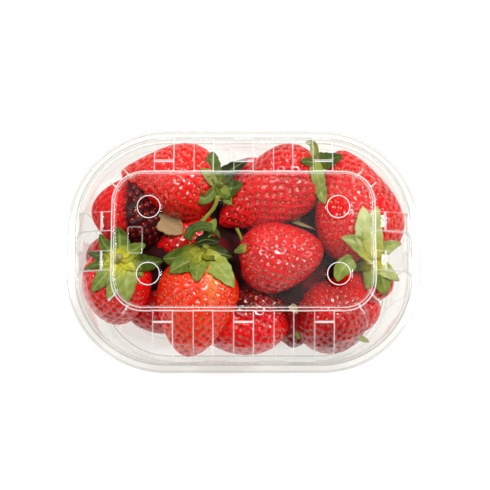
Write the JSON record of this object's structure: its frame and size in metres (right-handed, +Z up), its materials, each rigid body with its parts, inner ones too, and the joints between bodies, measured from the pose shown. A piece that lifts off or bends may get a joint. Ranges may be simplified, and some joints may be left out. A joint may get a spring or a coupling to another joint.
{
  "type": "punnet of strawberries",
  "caption": "Clear tapered fruit tray with a ribbed, vented clip-on lid over a raised flat deck, filled with whole fresh strawberries and their green leaf crowns.",
  "frame": {"origin": "middle of the overall box on plan, on the surface that the tray stands on", "axes": "+X along the punnet's long side, +Y across it, away from the side at the bottom of the picture, +Z up through the lid's deck"},
  "size_m": [0.19, 0.134, 0.0719],
  "materials": {
    "tray_plastic": "clear glossy thermoformed plastic",
    "lid_plastic": "clear glossy thermoformed plastic",
    "strawberries": "glossy red fruit skin with green leaves"
  },
  "bodies": {
    "root": {"tray": "tray_plastic", "lid": "lid_plastic", "berries": "strawberries"}
  },
  "joints": []
}
